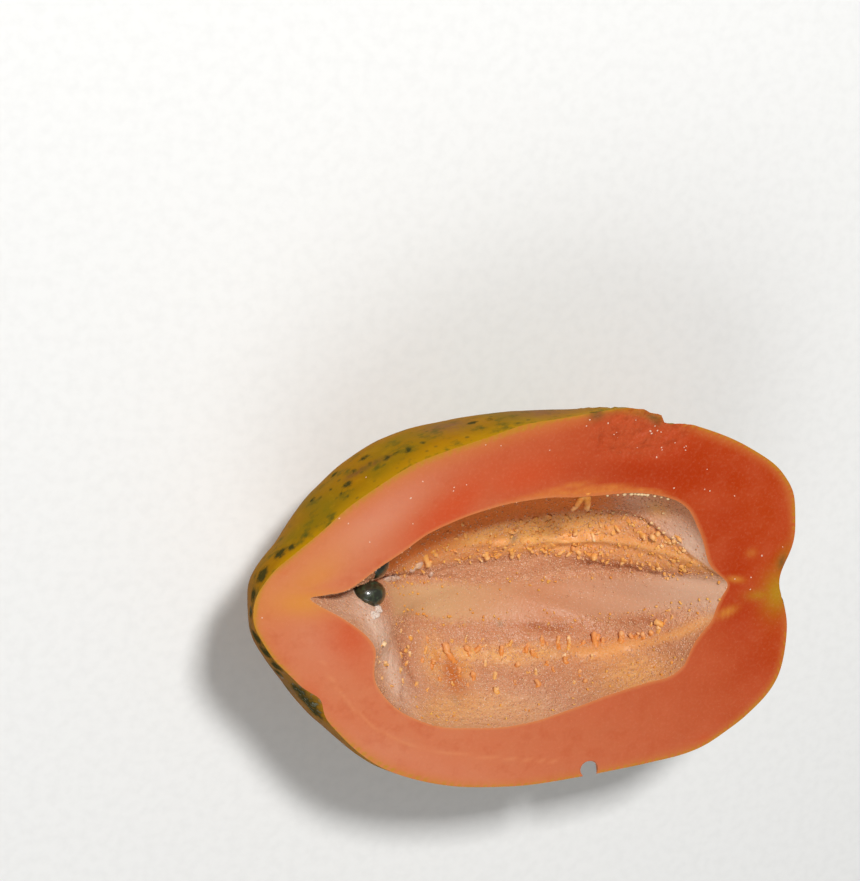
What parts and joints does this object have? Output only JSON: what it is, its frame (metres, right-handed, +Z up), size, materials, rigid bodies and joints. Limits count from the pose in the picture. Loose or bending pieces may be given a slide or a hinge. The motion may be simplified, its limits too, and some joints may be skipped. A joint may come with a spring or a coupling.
{
  "type": "papaya half",
  "caption": "Ripe papaya cut in half lengthwise, lying on its round back with the orange flesh and the open seed cavity up.",
  "frame": {"origin": "under the middle of the half's own box, on the surface that it rests on", "axes": "+Z up, out of the cut face; +X along the fruit from the pointed end to the stem end; +Y to the side where the flesh is torn"},
  "size_m": [0.1502, 0.1044, 0.0549],
  "materials": {
    "flesh": "moist satin fruit flesh, with a thin green to yellow skin on the round back",
    "seed": "wet glossy black"
  },
  "bodies": {
    "root": {"papaya_half": "flesh", "seed_front": "seed", "seed_back": "seed"}
  },
  "joints": []
}
